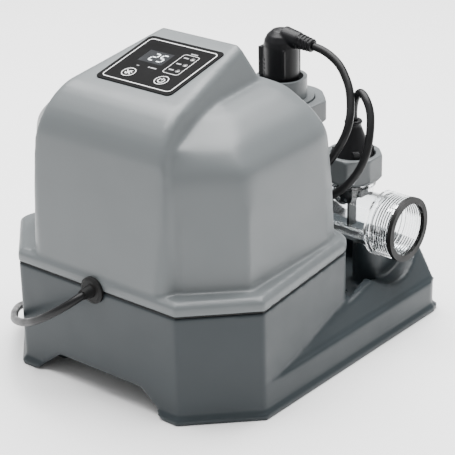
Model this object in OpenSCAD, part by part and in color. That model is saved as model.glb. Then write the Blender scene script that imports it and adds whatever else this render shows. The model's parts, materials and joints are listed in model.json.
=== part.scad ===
// Salt chlorine generator: desk-sized housing with a clear flow pipe behind it.
// Millimetres. +X is the outlet end, -Y is the control face, +Z is up.
// Z = 0 is the floor.

/* [Housing] */
// Half width of the base wall
half_w = 141; // [130:1:150]
// Half width of the flat front face
front_half = 90; // [80:1:100]
// Half depth of the base wall
half_d = 157; // [150:1:165]
// Depth of each front corner chamfer
chamfer_d = 52.5; // [40:0.5:60]
// Height of the low skirt round the base
skirt_h = 30; // [24:1:36]
// Height of the base at the parting line
part_z = 99; // [90:1:110]
// Wall thickness of the moulded shells
wall = 3.5; // [2.5:0.5:5]
// Rear wall of the electronics housing
rear_y = 45; // [35:1:55]

/* [Control panel] */
// Centre of the panel, front to back
panel_y = -64; // [-80:1:-50]
// Centre of the panel, height
panel_z = 272.8; // [260:0.1:285]
// Slope of the panel in degrees
panel_tilt = 13; // [5:1:25]
// Panel overlay width
overlay_w = 84; // [70:1:95]
// Panel overlay length along the slope
overlay_l = 75; // [60:1:90]
// Radius of each key
key_r = 7; // [5:0.5:9]

/* [Flow pipe] */
// Pipe axis, front to back
pipe_y = 106.5; // [100:0.5:115]
// Pipe axis, height
pipe_z = 98; // [90:0.5:110]
// Outside radius of the clear pipe
pipe_r = 24.5; // [22:0.5:28]
// Bore radius of the clear pipe
bore_r = 21.5; // [18:0.5:24]
// Radius over the threads of each end
thread_r = 29.6; // [28:0.1:32]
// Clear radius inside each end collar
mouth_r = 24.3; // [22:0.1:26]
// Half length of the pipe, gaskets included
pipe_half = 141; // [130:1:150]

/* [Cell and sensor] */
// Electrolytic cell axis, left to right
cell_x = -4; // [-10:1:10]
// Flow sensor axis, left to right
sensor_x = 78; // [70:1:90]
// Half width across the flats of the cell nut
cell_nut_r = 40; // [36:1:46]
// Underside of the cell nut
cell_nut_z = 171; // [165:1:180]
// Half width across the flats of the sensor nut
sensor_nut_r = 25.5; // [23:0.5:30]
// Underside of the sensor nut
sensor_nut_z = 133; // [125:1:140]
// Number of electrode plates
plate_count = 7; // [3:1:11]

/* [Cords] */
// Mains cord diameter
mains_d = 7; // [5:0.5:9]
// Cell and sensor lead diameter
lead_d = 7.4; // [5:0.1:9]
// Radius at mid-turn of the mains cord coil
coil_r = 38; // [34:1:45]

/* [Hidden] */
$fn = 72;
lip = 3.5;
lip_h = 5;
gap = 1;
cover_z = part_z + gap;
spine_front = half_d - 1;
grommet = [-1, -half_d, part_z];
tower_top = 215;
socket_z = 203;
coil_c = [-80, 235];
coil_tube_r = 12;
coil_z = coil_tube_r + 1.1;
plug_z = 18;
post_at = [[-72, -126], [72, -126], [-98, 18], [98, 18]];
foot_at = [[-110, -82], [110, -82], [-112, 132], [112, 132]];
board_at = [[-62, -48], [62, -48], [-62, 22], [62, 22]];

// Mains cord, from inside the housing round its left side to the coil behind it
mains_route = [
    [-1, -150, 99], [-1, -160, 99], [-1, -171, 98.5], [-6, -181, 93.5],
    [-20, -187, 83], [-42, -187, 69], [-66, -180, 57], [-90, -167, 47],
    [-108, -151, 40], [-126, -133, 31], [-143, -112, 22], [-156, -84, 12],
    [-163, -50, 5], [-165, -10, 3.6], [-165, 40, 3.6], [-163, 95, 3.6],
    [-154, 145, 3.6], [-132, 180, 3.6], [-108, 193, 4], [-80, 197, 5]];
// Mains cord, from the coil to its plug
mains_tail = [
    [-80, 279, 8], [-92, 279, 10], [-104, 278, 14], [-114, 276.5, 17], [-123, 276, 18]];
// Cell lead, from its elbow plug to its gland in the housing's rear wall
cell_route = [
    [33.1, 106.5, 250.3], [43, 106.5, 248.6], [54, 106, 244.5],
    [64, 104, 239], [72, 101, 232], [80, 96.5, 223], [86, 90.5, 212],
    [90, 84, 201], [90.5, 78, 189], [87, 72, 176], [80, 66, 162],
    [72, 58, 152], [68, 49, 148], [68, 36, 147.5]];
// Sensor lead, from its cone plug to its gland in the housing's rear wall
sensor_route = [
    [78, 106.5, 172.5], [78, 106.5, 188], [78, 106.5, 200], [80.5, 106, 211], [87.5, 103.5, 218.5],
    [97, 99, 215], [105, 94, 205], [110.5, 86, 190], [112.5, 78, 174],
    [109, 71.5, 159], [101, 66, 145.5], [89, 61, 134.5], [80, 55, 128.5],
    [76, 47, 126.5], [76, 36, 126]];
// Wires inside the housing
wire_route_a = [
    [-1, -149.4, 99], [-6, -143, 97], [-22, -140, 90], [-40, -132, 76],
    [-50, -110, 62], [-56, -84, 55], [-57, -60, 52], [-57, -44, 50.2]];
wire_route_b = [
    [68, 35.4, 147.5], [68, 28, 147.3], [68, 22, 139], [67, 20, 112],
    [66, 19, 80], [64, 15, 60], [62, 10, 48]];
wire_route_c = [
    [76, 35.4, 126], [76, 28, 125.8], [76, 22, 117], [75, 18, 96],
    [72, 10, 70], [67, 2, 54], [62, -4, 48]];

function unit(v) = v / norm(v);
function spline(p, i, t) =
    let (a = p[max(i - 1, 0)], b = p[i], c = p[i + 1], d = p[min(i + 2, len(p) - 1)])
    0.5 * ((2 * b) + (c - a) * t + (2 * a - 5 * b + 4 * c - d) * t * t
        + (3 * b - a - 3 * c + d) * t * t * t);
function smooth(p, k) = concat(
    [for (i = [0 : len(p) - 2], j = [0 : k - 1]) spline(p, i, j / k)], [p[len(p) - 1]]);
function tangent(p, i) = unit(p[min(i + 1, len(p) - 1)] - p[max(i - 1, 0)]);
function normals(p, i = 0, n = [0, 0, 1]) =
    let (t = tangent(p, i), m = unit(n - (n * t) * t))
    i == len(p) - 1 ? [m] : concat([m], normals(p, i + 1, m));

// Round tube of diameter d along a list of points
module tube(route, d, sides = 10, k = 3) {
    p = smooth(route, k);
    n = normals(p, 0, unit([0.3, 0.2, 0.9]));
    rings = [for (i = [0 : len(p) - 1], j = [0 : sides - 1])
        let (a = 360 * j / sides, b = cross(tangent(p, i), n[i]))
        p[i] + d / 2 * (cos(a) * n[i] + sin(a) * b)];
    last = (len(p) - 1) * sides;
    polyhedron(rings, concat(
        [[for (j = [0 : sides - 1]) j]],
        [for (i = [0 : len(p) - 2], j = [0 : sides - 1])
            let (a = i * sides + j, b = i * sides + (j + 1) % sides)
            [b, a, a + sides, b + sides]],
        [[for (j = [sides - 1 : -1 : 0]) last + j]]));
}

// Plan of the low skirt, grown by d
function skirt_plan(d) = let (w = half_w + d, f = front_half + 0.414 * d, y = half_d + d)
    [[-f, -y], [f, -y], [w, -half_d + chamfer_d - 0.414 * d], [w, half_d - 10],
     [w - 3, half_d + d - 3], [w - 10, y], [10 - w, y], [3 - w, half_d + d - 3],
     [-w, half_d - 10], [-w, -half_d + chamfer_d - 0.414 * d]];

// Plan of the tall housing, shrunk by d, with round rear corners
function tall_half(d) = concat(
    [[front_half - 0.414 * d, -half_d + d],
     [half_w - 1.1 * d, -half_d + chamfer_d + 0.4 * d]],
    [for (a = [5 : 8.5 : 90]) [104 + (22 - d) * cos(a), rear_y - 22 + (22 - d) * sin(a)]]);
function mirrored(p) = concat(p, [for (i = [len(p) - 1 : -1 : 0]) [-p[i][0], p[i][1]]]);
module tall_plan(d) {
    polygon(mirrored(tall_half(d)));
}

module slab(z, t, pts) {
    translate([0, 0, z]) linear_extrude(t) polygon(mirrored(pts));
}

// Both sides of the object
module both() {
    children();
    mirror([1, 0, 0]) children();
}

module along_pipe() {
    translate([0, pipe_y, pipe_z]) rotate([0, 90, 0]) children();
}

module on_panel() {
    translate([0, panel_y, panel_z]) rotate([panel_tilt, 0, 0]) children();
}

module rounded_plate(w, l, t, r) {
    linear_extrude(t) union() {
        square([w - 2 * r, l], center = true);
        square([w, l - 2 * r], center = true);
        for (x = [-1, 1], y = [-1, 1])
            translate([x * (w / 2 - r), y * (l / 2 - r)]) circle(r);
    }
}

// Octagonal ring of half width r across its flats
module octagon(r, h) {
    linear_extrude(h) intersection() {
        square(2 * r, center = true);
        rotate(45) square(2 * r, center = true);
    }
}

// ---- Base ----
// Sloping bank round the rear deck, as a solid grown by d
module bank(d) {
    hull() {
        slab(skirt_h - 0.1, 0.1, [[138 + d, -97], [138 + d, half_d - 1 + d]]);
        slab(37.9 + d, 0.1, [[124 + d, 28], [124 + d, half_d - 1.5 + d]]);
        slab(66.9 + d, 0.1, [[119 + d, 148], [119 + d, 151 + d]]);
        slab(62 + d, 0.1, [[122 + d, 146], [120 + d, 154 + d]]);
    }
}

module pocket_plan() {
    polygon(mirrored([[123, 30], [117, 65], [112, 90], [112, 134]]));
}

module rear_deck() {
    difference() {
        union() {
            difference() {
                bank(0);
                intersection() {
                    bank(-wall);
                    translate([-150, rear_y + 4, 0]) cube([300, 150, 100]);
                }
            }
            intersection() {
                bank(0);
                translate([0, 0, 29.9]) linear_extrude(60) offset(delta = 3) pocket_plan();
            }
            intersection() {
                bank(0);
                both() along_pipe() translate([0, 0, 109]) cylinder(r = 57, h = 40);
            }
        }
        translate([0, 0, 34]) linear_extrude(60) pocket_plan();
        both() along_pipe() translate([0, 0, 112]) cylinder(r = 54, h = 40);
    }
}

// Column with a round saddle that carries the pipe
module pedestal() {
    translate([97, 106.5, 0]) difference() {
        union() {
            translate([0, 0, 28]) cylinder(r = 15, h = 50);
            translate([-15, 0, 28]) cube([30, 27, 50]);
        }
        translate([0, 0, 20]) cylinder(r = 11, h = 38);
        translate([0, 0, 20]) cylinder(r = 5.3, h = 60);
    }
}

module base() {
    color([0.27, 0.31, 0.33]) difference() {
        union() {
            linear_extrude(lip_h) polygon(skirt_plan(lip));
            linear_extrude(skirt_h) polygon(skirt_plan(0));
            linear_extrude(part_z) tall_plan(0);
            difference() {
                union() {
                    rear_deck();
                    both() pedestal();
                }
                along_pipe() cylinder(r = pipe_r + 0.1, h = 300, center = true);
            }
        }
        // electronics compartment
        difference() {
            translate([0, 0, skirt_h]) linear_extrude(100) tall_plan(wall);
            for (p = post_at) translate([p[0], p[1], 0]) cylinder(r = 8, h = part_z);
            for (p = board_at) translate([p[0], p[1], 0]) cylinder(r = 4, h = 42);
        }
        // hollow underside, with the posts and pedestal columns left in it
        difference() {
            translate([0, 0, -1]) linear_extrude(skirt_h - 2) polygon(skirt_plan(-wall));
            for (p = post_at) translate([p[0], p[1], -2]) cylinder(r = 8, h = 40);
            for (p = foot_at) translate([p[0], p[1], 2]) cylinder(r = 12, h = 40);
        }
        difference() {
            translate([-134, rear_y + 4, 20]) cube([268, half_d - rear_y - 8, 11.5]);
            for (p = foot_at) translate([p[0], p[1], 2]) cylinder(r = 12, h = 40);
        }
        for (p = post_at) translate([p[0], p[1], -1]) cylinder(r = 5, h = 86);
        for (p = post_at) translate([p[0], p[1], 80]) cylinder(r = 2.4, h = 30);
        for (p = board_at) translate([p[0], p[1], 34]) cylinder(r = 1.3, h = 10);
        // arch between the front feet, and the mounting holes in the deck
        translate([0, 10 - half_d, 0]) rotate([90, 0, 0]) linear_extrude(20)
            polygon([[-75.5, -1], [-47.5, 21], [47.5, 21], [75.5, -1]]);
        both() translate([90, 76, 20]) cylinder(r = 3.2, h = 20);
        translate(grommet) rotate([90, 0, 0]) cylinder(r = 9, h = 20, center = true);
    }
}

module foot_pads() {
    color([0.1, 0.1, 0.1]) for (p = foot_at)
        translate([p[0], p[1], 0]) cylinder(r = 10, h = 2);
}

// ---- Cover ----
// Side bodies of the cover, shrunk by d
module cheeks(d) {
    hull() {
        slab(104, 1, [[83 - d, -140 + d], [123.5 - d, -100.5 + d], [118 - d, 14], [114 - d, 30 - d], [98 - d, 38 - d]]);
        slab(212 - 0.4 * d, 1, [[80 - d, -136 + d], [119.5 - d, -97 + d], [114.5 - d, 12], [110 - d, 27 - d], [95 - d, 35 - d]]);
        slab(231 - 0.8 * d, 1, [[74 - d, -127 + d], [103 - d, -90 + d], [99 - d, 8], [95 - d, 22 - d], [83 - d, 28 - d]]);
        slab(245 - d, 1, [[60 - d, -106 + d], [82 - d, -74 + d], [78 - d, 2], [66 - d, 20 - d]]);
        slab(250 - d, 1, [[54 - d, -88 + d], [66 - d, -62 + d], [62 - d, 0], [54 - d, 12 - d]]);
    }
}

// One rib of the centre spine: half width w at depth y and height z
module rib(y, z, w, d) {
    translate([d - w, y, z - 5 - d]) cube([2 * (w - d), 0.1, 1]);
    translate([d + 5 - w, y, z - 1 - d]) cube([2 * (w - 5 - d), 0.1, 1]);
}

// Centre spine of the cover, shrunk by d
module spine(d) {
    hull() {
        slab(cover_z + 1, 1, [[65 - d, -spine_front + d], [75 - d, -spine_front + 4 + d], [79 - d, -spine_front + 12 + d], [79 - d, 37 - d]]);
        slab(190, 1, [[64 - d, -146 + d], [74 - d, -142 + d], [78 - d, -134 + d], [66 - d, 37 - d]]);
        for (a = [0 : 9 : 72])
            rib(d - 95 - 50 * cos(a), 214 + 50 * sin(a), 75 - 10 * sin(a), d);
        rib(-12 - d, 285, 46.5, d);
        translate([-44 + d, 36 - d, 214]) cube([88 - 2 * d, 0.1, 1]);
        translate([-46 + d, 9 - d, 249 - d]) cube([92 - 2 * d, 0.1, 1]);
    }
}

module cover_rim() {
    difference() {
        union() {
            translate([0, 0, cover_z]) linear_extrude(8) tall_plan(-0.5);
            translate([0, 0, cover_z + 8]) linear_extrude(2.5) tall_plan(1);
            translate([0, 0, cover_z + 10.5]) linear_extrude(2) tall_plan(4);
        }
        translate([0, 0, cover_z - 1]) linear_extrude(10.5) tall_plan(wall + 1);
        translate([0, 0, cover_z]) linear_extrude(20) polygon(mirrored(
            [[80, -137], [120, -98], [114.5, 14], [110, 28], [95, 34]]));
    }
}

module cover() {
    color([0.62, 0.65, 0.66]) difference() {
        union() {
            cover_rim();
            difference() {
                union() {
                    cheeks(0);
                    spine(0);
                }
                cheeks(3);
                spine(3);
                translate([-100, -150, cover_z - 5]) cube([200, 180, 14]);
                translate([-60, -153, cover_z - 5]) cube([120, 20, 18]);
            }
            for (p = post_at) translate([p[0], p[1], cover_z]) cylinder(r = 6, h = 18);
            // webs that tie the screw bosses to the cover's walls
            both() translate([72, -126, cover_z]) rotate(-45) translate([0, -1.5, 0]) cube([15, 3, 14]);
            both() translate([98, 16.5, cover_z]) cube([18.4, 3, 14]);
            intersection() {
                spine(1);
                on_panel() for (x = [-34, 34], y = [-29, 29])
                    translate([x, y, -12.4]) cylinder(r = 3, h = 11);
            }
        }
        for (p = post_at) translate([p[0], p[1], cover_z - 1]) cylinder(r = 1.8, h = 17);
        // overlay recess, key and window openings
        on_panel() {
            translate([0, 0, -0.6]) rounded_plate(overlay_w + 0.4, overlay_l + 0.4, 10, 5);
            translate([-17.5, -20.5, -6]) cylinder(r = key_r + 0.8, h = 10);
            translate([19, -20.5, -6]) cylinder(r = key_r + 0.8, h = 10);
            translate([-11.5, 8.2, 0]) cube([28, 19.6, 20], center = true);
            for (y = [-3, 7, 17]) translate([22, y, -6]) cylinder(r = 1.9, h = 10);
        }
        translate(grommet) rotate([90, 0, 0]) cylinder(r = 9, h = 30, center = true);
        translate(grommet) rotate([90, 0, 0]) translate([0, 0, -16]) cylinder(r = 12, h = 16 - wall);
        translate(grommet) rotate([90, 0, 0]) cylinder(r = 12.2, h = 4);
        translate([68, 40, 147.5]) rotate([90, 0, 0]) cylinder(r = 5.6, h = 20, center = true);
        translate([76, 40, 126]) rotate([90, 0, 0]) cylinder(r = 5.6, h = 20, center = true);
    }
}

module cover_seal() {
    color([0.12, 0.12, 0.12]) translate([0, 0, part_z]) difference() {
        linear_extrude(gap) tall_plan(0.9);
        translate([0, 0, -1]) linear_extrude(3) tall_plan(3.1);
        translate([-12, -165, -1]) cube([22, 20, 4]);
    }
}

module cover_screws() {
    color([0.7, 0.7, 0.72]) for (p = post_at) translate([p[0], p[1], 0]) {
        translate([0, 0, 82]) cylinder(r = 4, h = 3);
        translate([0, 0, 84]) cylinder(r = 1.8, h = 30);
    }
}

// ---- Control panel ----
module control_overlay() {
    color([0.03, 0.03, 0.03]) on_panel() difference() {
        translate([0, 0, -0.6]) rounded_plate(overlay_w, overlay_l, 1, 5);
        translate([-17.5, -20.5, -2]) cylinder(r = key_r + 0.3, h = 4);
        translate([19, -20.5, -2]) cylinder(r = key_r + 0.3, h = 4);
        translate([-11.5, 8.2, 0]) cube([27, 18.6, 4], center = true);
        for (y = [-3, 7, 17]) translate([22, y, -2]) cylinder(r = 1.2, h = 4);
    }
}

module display_lens() {
    color([0.2, 0.2, 0.21]) on_panel() translate([-11.5, 8.2, -0.3])
        cube([26.8, 18.4, 1.2], center = true);
}

module key(x) {
    on_panel() translate([x, -20.5, 0]) {
        translate([0, 0, -1.6]) cylinder(r = key_r, h = 2.2);
        translate([0, 0, -7.9]) cylinder(r = 2.2, h = 6.5);
    }
}

module mode_key() {
    color([0.05, 0.05, 0.05]) key(-17.5);
}

module power_key() {
    color([0.05, 0.05, 0.05]) key(19);
}

module indicator_leds() {
    color([0.9, 0.9, 0.85]) on_panel() for (y = [-3, 7, 17])
        translate([22, y, -12.3]) cylinder(r = 1.1, h = 12.4);
}

module control_board() {
    color([0.1, 0.35, 0.2]) on_panel() {
        difference() {
            translate([0, 0, -14]) rounded_plate(78, 68, 1.6, 3);
            for (x = [-34, 34], y = [-29, 29]) translate([x, y, -15]) cylinder(r = 1.5, h = 4);
        }
        for (x = [-17.5, 19]) translate([x, -20.5, -10.5]) cube([6, 6, 3.8], center = true);
        translate([-20, 27, -10.9]) cube([16, 6, 3], center = true);
    }
}

module display_module() {
    color([0.15, 0.15, 0.15]) on_panel() translate([-11.5, 8.2, -6.7])
        cube([25, 17, 11.2], center = true);
}

// ---- Electronics in the base ----
module main_board() {
    color([0.1, 0.35, 0.2]) difference() {
        translate([-68, -54, 42]) cube([136, 82, 1.6]);
        for (p = board_at) translate([p[0], p[1], 40]) cylinder(r = 1.7, h = 5);
    }
}

module transformer_core() {
    color([0.3, 0.3, 0.32]) translate([8, -104, 0]) difference() {
        translate([-38, -22, skirt_h]) cube([76, 44, 58]);
        for (x = [-19, 19]) translate([x, 0, skirt_h + 29]) cube([18, 60, 34], center = true);
    }
}

module transformer_coils() {
    color([0.75, 0.45, 0.2]) translate([8, -104, skirt_h + 29]) difference() {
        cube([50, 62, 32], center = true);
        cube([20.4, 45, 60], center = true);
    }
}

module heatsink() {
    color([0.75, 0.76, 0.78]) {
        translate([12, 4, 43.6]) cube([44, 4, 34]);
        for (i = [0 : 6]) translate([12 + 6.5 * i, 8, 43.6]) cube([2, 12, 34]);
    }
}

module relays() {
    color([0.12, 0.2, 0.5]) for (x = [-30, -8]) translate([x, -8, 43.7]) cube([18, 14, 16]);
}

module capacitors() {
    color([0.15, 0.15, 0.2]) {
        for (x = [0, 17]) translate([x, -38, 43.7]) cylinder(r = 7.5, h = 26);
        translate([40, -38, 43.7]) cylinder(r = 6, h = 20);
        translate([56, -32, 43.7]) cylinder(r = 5, h = 14);
    }
}

module terminal_block() {
    color([0.15, 0.45, 0.3]) translate([-64, -44, 43.7]) difference() {
        cube([14, 44, 12]);
        for (i = [0 : 5]) translate([-1, 4.5 + 7 * i, 4]) rotate([0, 90, 0]) cylinder(r = 2, h = 9);
        for (i = [0 : 5]) translate([7, 4.5 + 7 * i, 8]) cylinder(r = 2, h = 6);
    }
}

module board_screws() {
    color([0.7, 0.7, 0.72]) for (p = board_at) translate([p[0], p[1], 0]) {
        translate([0, 0, 43.6]) cylinder(r = 2.8, h = 1.8);
        translate([0, 0, 35]) cylinder(r = 1.3, h = 9);
    }
}

module inner_wires() {
    color([0.1, 0.1, 0.1]) {
        tube(wire_route_a, 6, 8, 2);
        tube(wire_route_b, 5, 8, 2);
        tube(wire_route_c, 5, 8, 2);
    }
}

// ---- Grommets and glands ----
module mains_grommet() {
    color([0.05, 0.05, 0.05]) translate(grommet) rotate([90, 0, 0]) difference() {
        union() {
            translate([0, 0, -wall - 0.4]) cylinder(r = 8.9, h = wall + 2);
            translate([0, 0, 0.1]) cylinder(r = 12, h = 2.4);
            translate([0, 0, 2.4]) cylinder(r1 = 11.6, r2 = 9.5, h = 1.6);
            translate([0, 0, -wall - 3]) cylinder(r = 11.5, h = 2.9);
        }
        translate([0, 0, -20]) cylinder(r = 5.15, h = 40);
    }
}

// Tapered sleeve that the mains cord leaves the grommet in
module mains_relief() {
    color([0.05, 0.05, 0.05]) translate(grommet) rotate([90, 0, 0]) difference() {
        union() {
            translate([0, 0, -8.5]) cylinder(r = 5.1, h = 12.6);
            translate([0, 0, 4.05]) cylinder(r1 = 5.9, r2 = 4.4, h = 10);
        }
        translate([0, 0, -20]) cylinder(r = mains_d / 2 + 0.06, h = 50);
    }
}

module gland(x, z) {
    translate([x, 38, z]) rotate([-90, 0, 0]) difference() {
        union() {
            translate([0, 0, -9]) cylinder(r = 5.4, h = 12);
            cylinder(r = 8.5, h = 3);
            translate([0, 0, 2.9]) cylinder(r1 = 7.6, r2 = 5, h = 9);
        }
        translate([0, 0, -20]) cylinder(r = lead_d / 2 + 0.05, h = 50);
    }
}

module lead_glands() {
    color([0.05, 0.05, 0.05]) {
        gland(68, 147.5);
        gland(76, 126);
    }
}

// ---- Clear pipe body ----
module collar() {
    translate([0, 0, 112]) {
        cylinder(r = thread_r + 0.6, h = 2.4);
        translate([0, 0, 5]) cylinder(r = thread_r + 0.2, h = 1.8);
        cylinder(r = thread_r - 1.6, h = pipe_half - 112 - 4);
        for (i = [0 : 5]) translate([0, 0, 9 + 2.6 * i]) {
            cylinder(r1 = thread_r - 1.6, r2 = thread_r, h = 0.9);
            translate([0, 0, 0.85]) cylinder(r1 = thread_r, r2 = thread_r - 1.6, h = 0.9);
        }
    }
}

module pipe_body() {
    color([0.85, 0.9, 0.92, 0.4]) difference() {
        union() {
            along_pipe() cylinder(r = pipe_r, h = 230, center = true);
            both() along_pipe() collar();
            translate([cell_x, pipe_y, 66]) cylinder(r = 33, h = cell_nut_z - 68);
            translate([cell_x, pipe_y, cell_nut_z - 12]) cylinder(r = 34, h = 20);
            translate([cell_x, pipe_y, cell_nut_z - 6]) cylinder(r = 37, h = 4);
            translate([sensor_x, pipe_y, pipe_z]) cylinder(r = 19, h = 42);
            translate([sensor_x, pipe_y, sensor_nut_z - 4]) cylinder(r = 21.5, h = 3);
            translate([sensor_x, pipe_y, sensor_nut_z + 1]) cylinder(r = 22, h = 6);
            both() translate([97, pipe_y, 62]) cylinder(r = 5, h = 20);
        }
        along_pipe() cylinder(r = bore_r, h = 400, center = true);
        both() along_pipe() translate([0, 0, 116]) cylinder(r = mouth_r, h = 40);
        translate([cell_x, pipe_y, 69]) cylinder(r = 29.5, h = 140);
        translate([sensor_x, pipe_y, pipe_z]) cylinder(r = 15.5, h = 80);
        both() translate([97, pipe_y, 61]) cylinder(r = 1.6, h = 12);
    }
}

module pipe_screws() {
    color([0.7, 0.7, 0.72]) for (x = [-97, 97]) translate([x, pipe_y, 0]) {
        translate([0, 0, 54.5]) cylinder(r = 7, h = 3.4);
        translate([0, 0, 57]) cylinder(r = 1.6, h = 15);
    }
}

module end_gasket() {
    along_pipe() translate([0, 0, pipe_half - 4]) difference() {
        cylinder(r = 30, h = 4);
        translate([0, 0, -1]) cylinder(r = mouth_r, h = 6);
    }
}

module outlet_gasket() {
    color([0.04, 0.04, 0.04]) end_gasket();
}

module inlet_gasket() {
    color([0.04, 0.04, 0.04]) mirror([1, 0, 0]) end_gasket();
}

// ---- Electrolytic cell ----
module cell_head() {
    color([0.55, 0.57, 0.58]) translate([cell_x, pipe_y, 0]) difference() {
        union() {
            translate([0, 0, 150]) cylinder(r = 29, h = 32);
            translate([0, 0, cell_nut_z + 8.05]) cylinder(r = 34, h = 6.8);
            translate([0, 0, cell_nut_z + 13]) cylinder(r = 30.4, h = 12);
            translate([0, 0, cell_nut_z + 24]) cylinder(r = 24, h = socket_z - cell_nut_z - 24);
        }
        translate([0, 0, 162]) rotate_extrude() translate([29, 0]) square([3.4, 3.4], center = true);
        for (x = [-9, 9]) translate([x, 0, 140]) cylinder(r = 2.5, h = 80);
    }
}

// Round wall of the socket on top of the cell head
module cell_collar() {
    color([0.55, 0.57, 0.58]) translate([cell_x, pipe_y, socket_z]) difference() {
        cylinder(r = 24, h = tower_top - socket_z);
        translate([0, 0, -1]) cylinder(r = 20.4, h = 20);
    }
}

// Ring nut with eight flats, a round opening and a chamfered foot
module ring_nut(r, h, hole_top, hole_low, top_t) {
    difference() {
        intersection() {
            octagon(r, h);
            union() {
                cylinder(r1 = r * 0.9, r2 = r * 1.09, h = 5);
                translate([0, 0, 5]) cylinder(r = r * 1.065, h = h - 7);
                translate([0, 0, h - 2]) cylinder(r1 = r * 1.065, r2 = r * 1.0, h = 2);
            }
        }
        translate([0, 0, -1]) cylinder(r = hole_low, h = h - top_t + 1);
        translate([0, 0, h - top_t - 1]) cylinder(r = hole_top, h = top_t + 2);
    }
}

module cell_nut() {
    color([0.55, 0.57, 0.58]) translate([cell_x, pipe_y, cell_nut_z])
        ring_nut(cell_nut_r, 24, 31, 34.5, 9);
}

module cell_o_ring() {
    color([0.04, 0.04, 0.04]) translate([cell_x, pipe_y, 162])
        rotate_extrude() translate([28.4, 0]) circle(1.1);
}

module electrode_plates() {
    color([0.35, 0.35, 0.37]) for (i = [0 : plate_count - 1]) {
        y = pipe_y + 5 * (i - (plate_count - 1) / 2);
        translate([cell_x - 19, y - 0.5, 78]) cube([38, 1, 72]);
    }
    color([0.8, 0.8, 0.78]) for (x = [-14, 14], z = [88, 146]) translate([cell_x + x, pipe_y, z])
        rotate([90, 0, 0]) cylinder(r = 2.2, h = 36, center = true);
}

module cell_terminals() {
    color([0.75, 0.6, 0.3]) for (x = [-9, 9]) translate([cell_x + x, pipe_y, 0]) {
        translate([0, 0, 150]) cylinder(r = 2.4, h = 54);
        translate([0, 0, 203]) cylinder(r = 2, h = 14);
    }
}

// ---- Flow sensor ----
module sensor_body() {
    color([0.2, 0.2, 0.2]) translate([sensor_x, pipe_y, 0]) difference() {
        union() {
            translate([0, 0, 120]) cylinder(r = 15.2, h = 21);
            translate([0, 0, 140.05]) cylinder(r = 22, h = 5);
            for (y = [-1, 1]) translate([0, y * 9, 112]) rotate([90, 0, 0])
                linear_extrude(3, center = true) polygon([[-5, 0], [5, 0], [8, 10], [-8, 10]]);
        }
        translate([0, 0, 128]) rotate_extrude() translate([15.2, 0]) square([3.2, 3.2], center = true);
        translate([0, 0, 115]) rotate([90, 0, 0]) cylinder(r = 1.6, h = 40, center = true);
    }
}

module sensor_nut() {
    color([0.55, 0.57, 0.58]) translate([sensor_x, pipe_y, sensor_nut_z])
        ring_nut(sensor_nut_r, 26, 20.4, 22.3, 13.8);
}

module sensor_o_ring() {
    color([0.04, 0.04, 0.04]) translate([sensor_x, pipe_y, 128])
        rotate_extrude() translate([14.6, 0]) circle(0.95);
}

module sensor_plug() {
    color([0.06, 0.06, 0.06]) translate([sensor_x, pipe_y, 0]) difference() {
        union() {
            translate([0, 0, 145.2]) cylinder(r = 20, h = 8);
            translate([0, 0, 153]) cylinder(r1 = 20, r2 = 11, h = 22);
            translate([0, 0, 174.9]) cylinder(r1 = 11, r2 = 6.5, h = 12);
            for (i = [0 : 4]) translate([0, 0, 174 + 2.6 * i]) cylinder(r = 8.6 - 0.3 * i, h = 1.4);
            translate([0, 0, 186.8]) cylinder(r1 = 7.4, r2 = 8.4, h = 1.4);
            translate([0, 0, 188.1]) cylinder(r1 = 8.4, r2 = 7.6, h = 2);
            for (a = [45 : 90 : 315]) rotate(a) translate([0, -3, 150]) cube([19, 6, 14]);
        }
        translate([0, 0, 172]) cylinder(r = lead_d / 2 + 0.05, h = 30);
    }
}

module flow_paddle() {
    color([0.05, 0.05, 0.05]) translate([sensor_x, pipe_y, 115]) difference() {
        union() {
            rotate([90, 0, 0]) cylinder(r = 3.6, h = 13, center = true);
            translate([-1, -6, -29]) cube([2, 12, 28]);
        }
        rotate([90, 0, 0]) cylinder(r = 1.6, h = 30, center = true);
    }
}

module paddle_pin() {
    color([0.75, 0.75, 0.77]) translate([sensor_x, pipe_y, 115])
        rotate([90, 0, 0]) cylinder(r = 1.55, h = 21, center = true);
}

// ---- Cell plug ----
module cell_plug() {
    color([0.05, 0.05, 0.05]) translate([cell_x, pipe_y, 0]) difference() {
        union() {
            translate([0, 0, 203.5]) cylinder(r = 17, h = 6);
            translate([0, 0, 209]) cylinder(r = 16.5, h = 36);
            translate([-17, -13, 216]) cube([30, 26, 28]);
            translate([0, 0, 245]) scale([1, 1, 1]) rotate_extrude()
                polygon([[0, 0], [16.5, 0], [15.6, 5], [13, 10], [8, 14.5], [0, 16.5]]);
            translate([0, 0, 255]) rotate([0, 97, 0]) translate([0, 0, 4]) cylinder(r1 = 9, r2 = 8, h = 16);
            translate([0, 0, 255]) rotate([0, 97, 0]) translate([0, 0, 19]) cylinder(r1 = 6.4, r2 = 4.9, h = 18);
            for (i = [0 : 4]) translate([0, 0, 255]) rotate([0, 97, 0])
                translate([0, 0, 20 + 3.6 * i]) cylinder(r = 7.6 - 0.3 * i, h = 2);
            for (s = [-1, 1], i = [0 : 4]) translate([-3, s * 13.4, 216 + 4 * i])
                cube([14, 2.4, 1.8], center = true);
        }
        for (x = [-9, 9]) translate([x, 0, 200]) cylinder(r = 3.6, h = 20);
    }
}

module plug_contacts() {
    color([0.8, 0.7, 0.35]) for (x = [-9, 9]) translate([cell_x + x, pipe_y, 205]) difference() {
        cylinder(r = 3.55, h = 14.9);
        translate([0, 0, -1]) cylinder(r = 2.15, h = 14);
    }
}

// ---- Leads and mains cord ----
module cell_lead() {
    color([0.06, 0.06, 0.06]) tube(cell_route, lead_d, 12, 4);
}

module sensor_lead() {
    color([0.06, 0.06, 0.06]) tube(sensor_route, lead_d, 12, 4);
}

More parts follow.
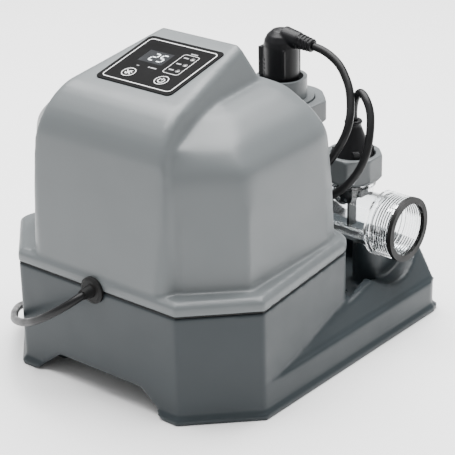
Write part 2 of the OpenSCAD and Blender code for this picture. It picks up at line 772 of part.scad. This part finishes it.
module mains_cord() {
    color([0.06, 0.06, 0.06]) {
        tube(mains_route, mains_d, 10, 3);
        tube(mains_tail, mains_d, 10, 3);
    }
}

module mains_coil() {
    color([0.06, 0.06, 0.06]) translate([coil_c[0], coil_c[1], coil_z])
        rotate_extrude() translate([coil_r, 0]) circle(coil_tube_r);
}

module mains_plug() {
    color([0.06, 0.06, 0.06]) translate([-123.2, 276, plug_z]) rotate([0, -90, 0]) {
        cylinder(r1 = 4.6, r2 = 7, h = 36);
        for (i = [0 : 5]) translate([0, 0, 6 + 5 * i]) cylinder(r = 6 + 0.45 * i, h = 2.4);
        translate([0, 0, 35]) cylinder(r1 = 11, r2 = 17, h = 10);
        translate([0, 0, 44]) cylinder(r = 18, h = 22);
    }
}

module mains_plug_pins() {
    color([0.8, 0.8, 0.8]) for (y = [-9.5, 9.5]) translate([-188, 276 + y, plug_z])
        rotate([0, -90, 0]) cylinder(r = 2.4, h = 20);
}

module coil_tie() {
    color([0.1, 0.1, 0.1]) translate([coil_c[0] + coil_r, coil_c[1], coil_z])
        rotate([90, 0, 0]) difference() {
            cylinder(r = coil_tube_r + 1, h = 6, center = true);
            cylinder(r = coil_tube_r + 0.1, h = 8, center = true);
        }
}

base();
foot_pads();
cover();
cover_seal();
cover_screws();
control_overlay();
display_lens();
mode_key();
power_key();
indicator_leds();
control_board();
display_module();
main_board();
transformer_core();
transformer_coils();
heatsink();
relays();
capacitors();
terminal_block();
board_screws();
inner_wires();
mains_grommet();
mains_relief();
lead_glands();
pipe_body();
pipe_screws();
inlet_gasket();
outlet_gasket();
cell_head();
cell_collar();
cell_nut();
cell_o_ring();
electrode_plates();
cell_terminals();
sensor_body();
sensor_nut();
sensor_o_ring();
sensor_plug();
flow_paddle();
paddle_pin();
cell_plug();
plug_contacts();
cell_lead();
sensor_lead();
mains_cord();
mains_coil();
mains_plug();
mains_plug_pins();
coil_tie();
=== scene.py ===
"""Salt chlorine generator: materials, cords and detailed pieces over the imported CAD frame. Metres."""
import json
import math

import bmesh
import bpy
from mathutils import Matrix, Vector

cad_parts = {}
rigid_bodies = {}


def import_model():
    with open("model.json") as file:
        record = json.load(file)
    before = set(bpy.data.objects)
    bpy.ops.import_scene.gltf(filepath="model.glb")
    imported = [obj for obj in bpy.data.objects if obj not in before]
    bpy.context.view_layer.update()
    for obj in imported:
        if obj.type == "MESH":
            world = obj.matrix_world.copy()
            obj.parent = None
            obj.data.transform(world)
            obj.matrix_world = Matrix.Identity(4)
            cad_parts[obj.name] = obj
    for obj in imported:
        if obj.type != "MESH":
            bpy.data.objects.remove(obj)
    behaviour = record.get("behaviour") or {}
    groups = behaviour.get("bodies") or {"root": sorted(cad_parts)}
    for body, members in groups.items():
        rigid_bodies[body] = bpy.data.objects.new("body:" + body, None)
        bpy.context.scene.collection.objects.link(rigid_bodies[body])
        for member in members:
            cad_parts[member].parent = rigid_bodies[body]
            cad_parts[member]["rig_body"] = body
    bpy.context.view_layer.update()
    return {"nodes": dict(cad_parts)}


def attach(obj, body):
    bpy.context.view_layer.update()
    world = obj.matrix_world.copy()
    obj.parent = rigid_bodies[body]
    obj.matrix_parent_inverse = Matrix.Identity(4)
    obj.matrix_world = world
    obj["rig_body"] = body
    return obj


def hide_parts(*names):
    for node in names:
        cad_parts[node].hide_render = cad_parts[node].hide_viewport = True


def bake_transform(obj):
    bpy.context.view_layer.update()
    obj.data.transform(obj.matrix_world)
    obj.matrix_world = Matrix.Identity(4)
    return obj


MM = 0.001
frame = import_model()
nodes = frame["nodes"]

# ---------------------------------------------------------------- camera
AZIMUTH = 39.94
ELEVATION = 24.13
ROLL = 1.19
DISTANCE = 1.5314
LENS = 135.45
LOOK_RIGHT = 0.0126
LOOK_UP = -0.0456
LOOK_HEIGHT = 0.150


def make_camera():
    a, e, r = (math.radians(v) for v in (AZIMUTH, ELEVATION, ROLL))
    back = Vector((math.sin(a) * math.cos(e), -math.cos(a) * math.cos(e), math.sin(e)))
    right = Vector((math.cos(a), math.sin(a), 0))
    up = back.cross(right)
    look = Vector((0, 0, LOOK_HEIGHT)) + LOOK_RIGHT * right + LOOK_UP * up
    x = right * math.cos(r) - up * math.sin(r)
    y = right * math.sin(r) + up * math.cos(r)
    data = bpy.data.cameras.new("camera")
    data.lens = LENS
    data.sensor_width = 36
    data.clip_end = 20
    obj = bpy.data.objects.new("camera", data)
    m = Matrix((x, y, back)).transposed().to_4x4()
    m.translation = look + back * DISTANCE
    obj.matrix_world = m
    bpy.context.scene.collection.objects.link(obj)
    bpy.context.scene.camera = obj


make_camera()


# ---------------------------------------------------------------- materials
class Mat:
    """A small builder of node materials around one Principled shader."""

    def __init__(self, name, color, rough, **sockets):
        self.mat = bpy.data.materials.new(name)
        self.mat.use_nodes = True
        self.tree = self.mat.node_tree
        self.bsdf = self.tree.nodes["Principled BSDF"]
        self.color = color
        self.rough = rough
        self.bsdf.inputs["Base Color"].default_value = (*color, 1)
        self.bsdf.inputs["Roughness"].default_value = rough
        for key, value in sockets.items():
            self.bsdf.inputs[key.replace("_", " ")].default_value = value
        self.coord = self.new("ShaderNodeTexCoord").outputs["Object"]
        self.height = None

    def new(self, kind, **props):
        n = self.tree.nodes.new(kind)
        for k, v in props.items():
            setattr(n, k, v)
        return n

    def link(self, a, b):
        self.tree.links.new(a, b)

    def noise(self, scale, detail=3, rough=0.55, stretch=None):
        n = self.new("ShaderNodeTexNoise")
        n.inputs["Scale"].default_value = scale
        n.inputs["Detail"].default_value = detail
        n.inputs["Roughness"].default_value = rough
        if stretch:
            m = self.new("ShaderNodeMapping")
            m.inputs["Scale"].default_value = stretch
            self.link(self.coord, m.inputs["Vector"])
            self.link(m.outputs["Vector"], n.inputs["Vector"])
        else:
            self.link(self.coord, n.inputs["Vector"])
        return n.outputs["Fac"]

    def ramp(self, fac, low, high, a, b):
        r = self.new("ShaderNodeMapRange")
        r.inputs["From Min"].default_value = low
        r.inputs["From Max"].default_value = high
        r.inputs["To Min"].default_value = a
        r.inputs["To Max"].default_value = b
        self.link(fac, r.inputs["Value"])
        return r.outputs["Result"]

    def vary_color(self, fac, amount, other=None):
        """Mixes towards a darker (or other) colour by a texture."""
        mix = self.new("ShaderNodeMix", data_type="RGBA")
        dark = other or tuple(c * (1 - amount) for c in self.color)
        mix.inputs[6].default_value = (*self.color, 1)
        mix.inputs[7].default_value = (*dark, 1)
        self.link(fac, mix.inputs[0])
        self.link(mix.outputs[2], self.bsdf.inputs["Base Color"])

    def vary_rough(self, fac, spread):
        out = self.ramp(fac, 0.3, 0.7, self.rough - spread, self.rough + spread)
        self.link(out, self.bsdf.inputs["Roughness"])

    def bump(self, fac, strength, distance=0.0005):
        b = self.new("ShaderNodeBump")
        b.inputs["Strength"].default_value = strength
        b.inputs["Distance"].default_value = distance
        self.link(fac, b.inputs["Height"])
        if self.height is not None:
            self.link(self.height, b.inputs["Normal"])
        self.height = b.outputs["Normal"]
        self.link(self.height, self.bsdf.inputs["Normal"])


def moulded(name, color, rough, grain=2600, strength=0.12, tone=0.06, **sockets):
    """Moulded plastic: spark-eroded grain, faint flow marks and handling haze."""
    m = Mat(name, color, rough, **sockets)
    m.vary_color(m.ramp(m.noise(9, 4), 0.35, 0.7, 0, 1), tone)
    m.vary_rough(m.noise(28, 5), 0.06)
    m.bump(m.noise(grain, 2, 0.6), strength, 0.00025)
    m.bump(m.noise(60, 2, 0.4), 0.03, 0.0006)
    return m.mat


def rubber(name, color, rough, strength=0.25):
    """Soft rubber or cord jacket: fine tooth and dust in the tone."""
    m = Mat(name, color, rough, Specular_IOR_Level=0.2)
    m.vary_color(m.ramp(m.noise(40, 6), 0.45, 0.75, 0, 1), 0, tuple(c * 1.6 + 0.002 for c in color))
    m.vary_rough(m.noise(90, 4), 0.07)
    m.bump(m.noise(1800, 3, 0.6), strength, 0.0002)
    return m.mat


def metal(name, color, rough, stretch=(1, 1, 40)):
    """Drawn or turned metal: fine lines along one way and uneven polish."""
    m = Mat(name, color, rough, Metallic=1.0)
    m.vary_color(m.ramp(m.noise(60, 4), 0.4, 0.7, 0, 1), 0.18)
    m.vary_rough(m.noise(300, 3, 0.6, stretch), 0.1)
    m.bump(m.noise(900, 2, 0.5, stretch), 0.08, 0.0001)
    return m.mat


def clear(name, tint, rough=0.045):
    """Clear moulded plastic with faint flow lines and surface ripple."""
    m = Mat(name, tint, rough, Transmission_Weight=1.0, IOR=1.47)
    m.vary_rough(m.noise(50, 3), 0.02)
    m.bump(m.noise(70, 3, 0.5, (0.25, 1, 1)), 0.12, 0.0012)
    m.bump(m.noise(700, 2), 0.03, 0.0002)
    return m.mat


def glossy_panel(name, color, rough):
    """Printed overlay film: hard gloss with a faint orange peel."""
    m = Mat(name, color, rough, Specular_IOR_Level=0.04)
    m.vary_color(m.ramp(m.noise(120, 4), 0.5, 0.8, 0, 1), 0, tuple(c * 1.5 + 0.0008 for c in color))
    m.vary_rough(m.noise(45, 5), 0.05)
    m.bump(m.noise(420, 2), 0.03, 0.0003)
    return m.mat


def board(name):
    """Solder mask with copper tracks just showing through."""
    m = Mat(name, (0.012, 0.10, 0.035), 0.35)
    brick = m.new("ShaderNodeTexBrick")
    brick.inputs["Scale"].default_value = 120
    brick.inputs["Color1"].default_value = (0.012, 0.10, 0.035, 1)
    brick.inputs["Color2"].default_value = (0.02, 0.14, 0.05, 1)
    brick.inputs["Mortar"].default_value = (0.03, 0.20, 0.08, 1)
    m.link(m.coord, brick.inputs["Vector"])
    m.link(brick.outputs["Color"], m.bsdf.inputs["Base Color"])
    m.vary_rough(m.noise(60, 3), 0.06)
    m.bump(brick.outputs["Fac"], 0.2, 0.0001)
    return m.mat


def windings(name):
    """Enamelled copper wire wound in layers."""
    m = Mat(name, (0.42, 0.15, 0.05), 0.3, Metallic=0.8)
    wave = m.new("ShaderNodeTexWave", bands_direction="Z")
    wave.inputs["Scale"].default_value = 420
    wave.inputs["Distortion"].default_value = 0.6
    m.link(m.coord, wave.inputs["Vector"])
    m.vary_color(wave.outputs["Fac"], 0.6)
    m.vary_rough(m.noise(60, 3), 0.08)
    m.bump(wave.outputs["Fac"], 0.7, 0.0004)
    return m.mat


def laminations(name):
    """Stacked core sheets under varnish."""
    m = Mat(name, (0.09, 0.085, 0.08), 0.45, Metallic=0.5)
    wave = m.new("ShaderNodeTexWave", bands_direction="Y")
    wave.inputs["Scale"].default_value = 330
    m.link(m.coord, wave.inputs["Vector"])
    m.vary_color(wave.outputs["Fac"], 0.4)
    m.vary_rough(m.noise(40, 3), 0.1)
    m.bump(wave.outputs["Fac"], 0.35, 0.0003)
    return m.mat


def ink(name, color, rough=0.35):
    """Screen-printed ink with slightly uneven cover."""
    m = Mat(name, color, rough)
    m.vary_color(m.ramp(m.noise(900, 3), 0.45, 0.8, 0, 1), 0.12)
    m.vary_rough(m.noise(200, 2), 0.05)
    m.bump(m.noise(1500, 2), 0.05, 0.0001)
    return m.mat


def digit_light(name, color, strength):
    """Lit display segment behind a diffuser."""
    m = Mat(name, color, 0.4, Emission_Strength=strength)
    m.bsdf.inputs["Emission Color"].default_value = (*color, 1)
    m.vary_color(m.noise(600, 2), 0.1)
    m.bump(m.noise(800, 2), 0.05, 0.0002)
    return m.mat


COVER = moulded("cover_grey", (0.110, 0.121, 0.125), 0.37, Specular_IOR_Level=0.45)
BASE = moulded("base_dark", (0.022, 0.029, 0.033), 0.38, Specular_IOR_Level=0.32)
NUT = moulded("nut_grey", (0.112, 0.122, 0.126), 0.37, Specular_IOR_Level=0.42)
MOULD = moulded("moulded_black", (0.006, 0.006, 0.007), 0.37, 1500, 0.2, Specular_IOR_Level=0.22)
DARK = moulded("part_black", (0.018, 0.018, 0.020), 0.42)
BLUE = moulded("relay_blue", (0.02, 0.05, 0.24), 0.38)
GREEN = moulded("terminal_green", (0.02, 0.18, 0.07), 0.4)
LED = moulded("led_white", (0.75, 0.75, 0.70), 0.38, 900, 0.03)
RUBBER = rubber("rubber_black", (0.006, 0.006, 0.006), 0.5)
JACKET = rubber("cord_black", (0.006, 0.006, 0.0065), 0.38, 0.15)
PANEL = glossy_panel("panel_black", (0.002, 0.002, 0.0022), 0.36)
LENS_MAT = glossy_panel("lens_smoke", (0.020, 0.021, 0.023), 0.36)
CLEAR = clear("clear_plastic", (0.93, 0.95, 0.96))
STEEL = metal("screw_steel", (0.55, 0.55, 0.57), 0.3)
ALU = metal("sink_aluminium", (0.62, 0.63, 0.65), 0.38)
TITAN = metal("titanium", (0.10, 0.10, 0.11), 0.5, (1, 1, 8))
BRASS = metal("contact_brass", (0.70, 0.50, 0.22), 0.3)
BOARD = board("board_green")
COPPER = windings("coil_copper")
CORE = laminations("core_steel")
WHITE_INK = ink("ink_white", (0.82, 0.82, 0.82))
GREY_INK = ink("ink_grey", (0.33, 0.33, 0.34))
DIGIT = digit_light("digit_white", (0.80, 0.84, 0.86), 0.35)

LOOKS = {
    BASE: ["base"],
    COVER: ["cover"],
    NUT: ["cell_head", "cell_collar", "cell_nut", "sensor_nut"],
    MOULD: ["lead_glands", "sensor_plug", "cell_plug", "mains_plug", "coil_tie"],
    DARK: ["display_module", "capacitors", "sensor_body", "flow_paddle"],
    BLUE: ["relays"],
    GREEN: ["terminal_block"],
    LED: ["indicator_leds"],
    RUBBER: ["foot_pads", "cover_seal", "mains_grommet", "mains_relief", "inlet_gasket",
             "outlet_gasket", "cell_o_ring", "sensor_o_ring"],
    JACKET: ["inner_wires", "cell_lead", "sensor_lead", "mains_cord", "mains_coil"],
    PANEL: ["control_overlay", "mode_key", "power_key"],
    LENS_MAT: ["display_lens"],
    CLEAR: ["pipe_body"],
    STEEL: ["cover_screws", "board_screws", "pipe_screws", "paddle_pin"],
    ALU: ["heatsink"],
    TITAN: ["electrode_plates"],
    BRASS: ["cell_terminals", "plug_contacts", "mains_plug_pins"],
    BOARD: ["control_board", "main_board"],
    COPPER: ["transformer_coils"],
    CORE: ["transformer_core"],
}
MATERIAL_OF = {}
for material, names in LOOKS.items():
    for name in names:
        MATERIAL_OF[name] = material
        nodes[name].data.materials.clear()
        nodes[name].data.materials.append(material)


# ---------------------------------------------------------------- pieces
def link(obj, material, body):
    """Puts a new piece in the scene, on its body and in its material slot."""
    bpy.context.scene.collection.objects.link(obj)
    obj.data.materials.append(material)
    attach(obj, body)
    return obj


def body_of(node):
    return nodes[node]["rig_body"]


def mesh_from(bm, name):
    """Turns a bmesh into mesh data and frees it."""
    mesh = bpy.data.meshes.new(name)
    bm.to_mesh(mesh)
    bm.free()
    return mesh


def spline(points, steps):
    """Catmull-Rom points along a route."""
    pts = [Vector(p) * MM for p in points]
    out = []
    for i in range(len(pts) - 1):
        a, b = pts[max(i - 1, 0)], pts[i]
        c, d = pts[i + 1], pts[min(i + 2, len(pts) - 1)]
        for j in range(steps):
            t = j / steps
            out.append(0.5 * (2 * b + (c - a) * t + (2 * a - 5 * b + 4 * c - d) * t ** 2
                              + (3 * b - a - 3 * c + d) * t ** 3))
    return out + [pts[-1]]


def tube_mesh(name, path, radius, sides=16):
    """Closed tube round a path, its rings carried along without twist."""
    bm = bmesh.new()
    rings = []
    n = Vector((0.3, 0.2, 0.9))
    for i, p in enumerate(path):
        t = (path[min(i + 1, len(path) - 1)] - path[max(i - 1, 0)]).normalized()
        n = (n - n.dot(t) * t).normalized()
        b = t.cross(n)
        ring = []
        for k in range(sides):
            a = 2 * math.pi * k / sides
            ring.append(bm.verts.new(p + radius * (math.cos(a) * n + math.sin(a) * b)))
        rings.append(ring)
    for r0, r1 in zip(rings, rings[1:]):
        for k in range(sides):
            m = (k + 1) % sides
            bm.faces.new((r0[k], r0[m], r1[m], r1[k]))
    bm.faces.new(list(reversed(rings[0])))
    bm.faces.new(rings[-1])
    for f in bm.faces:
        f.smooth = True
    return mesh_from(bm, name)


# ---------------------------------------------------------------- cords
MAINS_D = 7.0
LEAD_D = 7.4
COIL_X, COIL_Y, COIL_Z, COIL_R = -80, 235, 13.1, 38
BUNDLE_R = 8.1
COIL_START = -90
COIL_SWEEP = 2700
CROSSING_FROM = 270
MAINS_ROUTE = [
    (-1, -150, 99), (-1, -160, 99), (-1, -171, 98.5), (-6, -181, 93.5),
    (-20, -187, 83), (-42, -187, 69), (-66, -180, 57), (-90, -167, 47),
    (-108, -151, 40), (-126, -133, 31), (-143, -112, 22), (-156, -84, 12),
    (-163, -50, 5), (-165, -10, 3.6), (-165, 40, 3.6), (-163, 95, 3.6),
    (-154, 145, 3.6), (-132, 180, 3.6), (-108, 193, 4), (-80, 197, 5)]
MAINS_TAIL = [
    (-80, 279, 8), (-92, 279, 10), (-104, 278, 14), (-114, 276.5, 17), (-123, 276, 18)]
CELL_ROUTE = [
    (33.1, 106.5, 250.3), (43, 106.5, 248.6), (54, 106, 244.5),
    (64, 104, 239), (72, 101, 232), (80, 96.5, 223), (86, 90.5, 212),
    (90, 84, 201), (90.5, 78, 189), (87, 72, 176), (80, 66, 162),
    (72, 58, 152), (68, 49, 148), (68, 36, 147.5)]
SENSOR_ROUTE = [
    (78, 106.5, 172.5), (78, 106.5, 188), (78, 106.5, 200), (80.5, 106, 211), (87.5, 103.5, 218.5),
    (97, 99, 215), (105, 94, 205), (110.5, 86, 190), (112.5, 78, 174),
    (109, 71.5, 159), (101, 66, 145.5), (89, 61, 134.5), (80, 55, 128.5),
    (76, 47, 126.5), (76, 36, 126)]


def coil_slots():
    """Places of the turns in the bundle's section: seven round one, in winding order."""
    ring = [(BUNDLE_R * math.cos(a), BUNDLE_R * math.sin(a))
            for a in (math.radians(-90 + 360 / 7 * k) for k in range(7))]
    return [ring[0], ring[6], ring[5], (0, 0), ring[4], ring[3], ring[2], ring[1]]


def coil_turns(step=12):
    """Seven and a half turns, from the front of the coil to its back."""
    slots = coil_slots()
    out = []
    for deg in range(0, COIL_SWEEP + 1, step):
        turn, within = divmod(deg, 360)
        k = min(turn, len(slots) - 1)
        nxt = min(k + 1, len(slots) - 1)
        t = max(0.0, (within - CROSSING_FROM) / (360 - CROSSING_FROM))
        t = t * t * (3 - 2 * t)
        dr = slots[k][0] * (1 - t) + slots[nxt][0] * t
        dz = slots[k][1] * (1 - t) + slots[nxt][1] * t
        a = math.radians(COIL_START + deg)
        reach = COIL_R + dr
        out.append((COIL_X + reach * math.cos(a), COIL_Y + reach * math.sin(a), COIL_Z + dz))
    return out


def curve_piece(name, path, radius):
    data = bpy.data.curves.new(name, "CURVE")
    data.dimensions = "3D"
    data.bevel_depth = radius
    data.bevel_resolution = 5
    data.use_fill_caps = True
    s = data.splines.new("POLY")
    s.points.add(len(path) - 1)
    for p, co in zip(s.points, path):
        p.co = (*co, 1)
    s.use_smooth = True
    return bpy.data.objects.new(name, data)


def make_cords():
    path = spline(MAINS_ROUTE, 4)[:-1] + spline(coil_turns(), 1)[:-1] + spline(MAINS_TAIL, 4)
    mains = link(curve_piece("mains_lead", path, MAINS_D / 2 * MM), JACKET, "housing")
    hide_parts("mains_cord", "mains_coil")

    path = spline(SENSOR_ROUTE, 6)
    lead = link(curve_piece("sensor_cable", path, LEAD_D / 2 * MM), JACKET, "housing")
    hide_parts("sensor_lead")

    path = spline(CELL_ROUTE, 6)
    lead = bpy.data.objects.new("cell_cable", tube_mesh("cell_cable", path, LEAD_D / 2 * MM))
    bpy.context.scene.collection.objects.link(lead)
    lead.data.materials.append(JACKET)
    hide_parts("cell_lead")
    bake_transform(lead)


make_cords()


# ---------------------------------------------------------------- soft-edged mouldings
def soften(node, voxel, passes, extra=None):
    """Replaces a CAD shell with a copy whose edges carry the mould's radii."""
    src = nodes[node]
    bm = bmesh.new()
    bm.from_mesh(src.data)
    bmesh.ops.remove_doubles(bm, verts=bm.verts, dist=1e-6)
    name = node + "_moulding"
    obj = bpy.data.objects.new(name, mesh_from(bm, name))
    link(obj, MATERIAL_OF[node], body_of(node))
    mod = obj.modifiers.new("remesh", "REMESH")
    mod.mode = "VOXEL"
    mod.voxel_size = voxel
    mod.use_smooth_shade = True
    mod = obj.modifiers.new("smooth", "SMOOTH")
    mod.factor = 0.5
    mod.iterations = passes
    bake(obj)
    if extra:
        extra(obj)
    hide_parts(node)


def bake(obj):
    """Applies an object's modifiers to its mesh."""
    deps = bpy.context.evaluated_depsgraph_get()
    mesh = bpy.data.meshes.new_from_object(obj.evaluated_get(deps))
    obj.modifiers.clear()
    obj.data = mesh
    for p in mesh.polygons:
        p.use_smooth = True


def ease(v, low, high):
    t = min(1.0, max(0.0, (v - low) / (high - low)))
    return t * t * (3 - 2 * t)


CROWN_RISE = (0.16, 0.20)
CHEEK_RISE = (0.165, 0.210)
CHEEK_SIDE = (0.072, 0.086)
FLAT_X, FLAT_Y, FLAT_Z = 0.050, -0.108, 0.25


def round_crown(obj):
    """Rounds the cover's crown, and its cheeks more than its spine."""
    for name, passes, weigh in (
            ("crown", 10, lambda c: ease(c.z, *CROWN_RISE)),
            ("cheeks", 150, lambda c: ease(c.z, *CHEEK_RISE) * ease(abs(c.x), *CHEEK_SIDE))):
        group = obj.vertex_groups.new(name=name)
        for v in obj.data.vertices:
            flat = abs(v.co.x) < FLAT_X and v.co.y > FLAT_Y and v.co.z > FLAT_Z
            w = 0 if flat else weigh(v.co)
            if w > 0:
                group.add([v.index], w, "REPLACE")
        mod = obj.modifiers.new(name, "SMOOTH")
        mod.vertex_group = name
        mod.factor = 0.5
        mod.iterations = passes
        bake(obj)


soften("cover", 0.0018, 4, round_crown)
soften("base", 0.0020, 3)
soften("cell_nut", 0.0009, 5)
soften("sensor_nut", 0.0008, 5)
soften("cell_plug", 0.0007, 3)
soften("sensor_plug", 0.0006, 2)
soften("mains_plug", 0.0009, 3)

# ---------------------------------------------------------------- printed panel
PANEL_AT = Vector((0, -64, 272.8)) * MM
PANEL_TILT = math.radians(13)
PANEL_FRAME = Matrix.Translation(PANEL_AT) @ Matrix.Rotation(PANEL_TILT, 4, "X")
# Heights of the print above the panel plane, in millimetres.
PRINT_Z = 0.40
KEY_PRINT_Z = 0.60
DIGIT_Z = 0.32
MODE_KEY_AT = (-17.5, -20.5)
POWER_KEY_AT = (19, -20.5)
KEY_RING_R = 6.2


def outline(points, width, closed=True):
    """Flat stroke of a given width along 2-D points, as quads in millimetres."""
    quads = []
    n = len(points)
    last = n if closed else n - 1
    edges = []
    for i in range(n):
        if closed:
            a, b = Vector(points[i - 1]), Vector(points[(i + 1) % n])
        else:
            a, b = Vector(points[max(i - 1, 0)]), Vector(points[min(i + 1, n - 1)])
        t = (b - a).normalized()
        s = Vector((-t.y, t.x)) * width / 2
        p = Vector(points[i])
        edges.append((p + s, p - s))
    for i in range(last):
        a, b = edges[i], edges[(i + 1) % n]
        quads.append((a[0], a[1], b[1], b[0]))
    return quads


def rounded_box(cx, cy, w, h, r, steps=6):
    pts = []
    for sx, sy, start in ((1, 1, 0), (-1, 1, 90), (-1, -1, 180), (1, -1, 270)):
        for k in range(steps + 1):
            a = math.radians(start + 90 * k / steps)
            pts.append((cx + sx * (w / 2 - r) + r * math.cos(a), cy + sy * (h / 2 - r) + r * math.sin(a)))
    return pts


def arc(cx, cy, r, a0, a1, steps=28):
    return [(cx + r * math.cos(math.radians(a0 + (a1 - a0) * k / steps)),
             cy + r * math.sin(math.radians(a0 + (a1 - a0) * k / steps))) for k in range(steps + 1)]


def bar(cx, cy, w, h, slant=0.0):
    """One filled bar, leaning by its slant."""
    lean = slant * (h / 2)
    low, high = cy - h / 2, cy + h / 2
    return [(Vector((cx - w / 2 - lean, low)), Vector((cx + w / 2 - lean, low)),
             Vector((cx + w / 2 + lean, high)), Vector((cx - w / 2 + lean, high)))]


def printed(name, quads, z, material, body, thick=0.05):
    """Thin raised print on the panel, from quads in panel millimetres."""
    bm = bmesh.new()
    for q in quads:
        low = [bm.verts.new(PANEL_FRAME @ (Vector((p.x, p.y, z)) * MM)) for p in q]
        top = [bm.verts.new(PANEL_FRAME @ (Vector((p.x, p.y, z + thick)) * MM)) for p in q]
        bm.faces.new(top)
        bm.faces.new(list(reversed(low)))
        for i in range(4):
            j = (i + 1) % 4
            bm.faces.new((low[i], low[j], top[j], top[i]))
    bmesh.ops.recalc_face_normals(bm, faces=bm.faces)
    return link(bpy.data.objects.new(name, mesh_from(bm, name)), material, body)


SEGMENTS = {"2": "abged", "5": "afgcd"}


def digit(char, cx, cy, w, h, t):
    """Seven-segment digit as slanted bars."""
    half = h / 2
    sl = 0.12
    place = {
        "a": bar(cx + sl * half, cy + half, w - t, t), "g": bar(cx, cy, w - t, t),
        "d": bar(cx - sl * half, cy - half, w - t, t),
        "f": bar(cx - w / 2 + sl * half / 2, cy + half / 2, t, half - t, sl),
        "b": bar(cx + w / 2 + sl * half / 2, cy + half / 2, t, half - t, sl),
        "e": bar(cx - w / 2 - sl * half / 2, cy - half / 2, t, half - t, sl),
        "c": bar(cx + w / 2 - sl * half / 2, cy - half / 2, t, half - t, sl)}
    return [q for s in SEGMENTS[char] for q in place[s]]


def make_panel():
    lines = outline(rounded_box(0, 0, 75.5, 66, 4), 0.8)
    lines += outline(rounded_box(18, 6.5, 17, 31, 2.5), 0.45)
    printed("panel_border", lines, PRINT_Z, WHITE_INK, "housing")
    marks = []
    for y in (-3, 7, 17):
        marks += bar(15, y, 5.2, 1.5)
        marks += outline(arc(22, y, 1.9, 0, 360, 20), 0.3)
    marks += bar(18, 24.4, 7.5, 1.3)
    marks += bar(-6, -7.4, 1.8, 1.4) + bar(-1.2, -7.4, 6.4, 1.4)
    marks += bar(-17.5, -8.6, 2.6, 0.8)
    printed("panel_marks", marks, PRINT_Z, GREY_INK, "housing")
    digits = digit("2", -13.2, 8.2, 5.2, 10.6, 1.3) + digit("5", -4.4, 8.2, 5.2, 10.6, 1.3)
    printed("panel_digits", digits, DIGIT_Z, DIGIT, "housing")
    mx, my = MODE_KEY_AT
    ring = outline(arc(mx, my, KEY_RING_R, 0, 360), 0.7)
    wave = []
    for dy in (-1.8, 1.2):
        points = [(mx + x * 0.5, my + dy + 1.1 * math.sin(x * 0.8)) for x in range(-7, 8)]
        wave += outline(points, 0.8, False)
    wave += outline([(-20, -23.4), (-15, -17.4)], 0.7, False)
    printed("mode_key_print", ring + wave, KEY_PRINT_Z, WHITE_INK, "mode_key")
    px, py = POWER_KEY_AT
    ring = outline(arc(px, py, KEY_RING_R, 0, 360), 0.7)
    sign = outline(arc(px, -20.8, 3.0, 125, 415), 0.8, False) + bar(px, -18.6, 0.8, 3.6)
    printed("power_key_print", ring + sign, KEY_PRINT_Z, WHITE_INK, "power_key")


make_panel()


# ---------------------------------------------------------------- studio
WORLD_LEVEL = 0.62
LIGHT_AIM = Vector((0, 0, 0.15))


def make_studio():
    """A pale floor under soft light."""
    bm = bmesh.new()
    bmesh.ops.create_grid(bm, x_segments=2, y_segments=2, size=6)
    floor = bpy.data.objects.new("floor", mesh_from(bm, "floor"))
    m = Mat("studio_floor", (0.93, 0.93, 0.93), 0.7)
    m.vary_rough(m.noise(3, 2), 0.05)
    m.bump(m.noise(300, 2), 0.02, 0.0002)
    floor.data.materials.append(m.mat)
    bpy.context.scene.collection.objects.link(floor)

    world = bpy.data.worlds.new("studio")
    bpy.context.scene.world = world
    world.use_nodes = True
    world.node_tree.nodes["Background"].inputs["Color"].default_value = (1, 1, 1, 1)
    world.node_tree.nodes["Background"].inputs["Strength"].default_value = WORLD_LEVEL

    def area(name, at, size, power):
        data = bpy.data.lights.new(name, "AREA")
        data.shape = "RECTANGLE"
        data.size, data.size_y = size
        data.energy = power
        obj = bpy.data.objects.new(name, data)
        obj.location = at
        aim = LIGHT_AIM - Vector(at)
        obj.rotation_euler = aim.to_track_quat("-Z", "Y").to_euler()
        bpy.context.scene.collection.objects.link(obj)

    area("top", (-0.25, 0.35, 2.0), (2.4, 2.0), 190)
    area("key", (-1.1, -0.9, 1.5), (0.4, 0.6), 4)


make_studio()
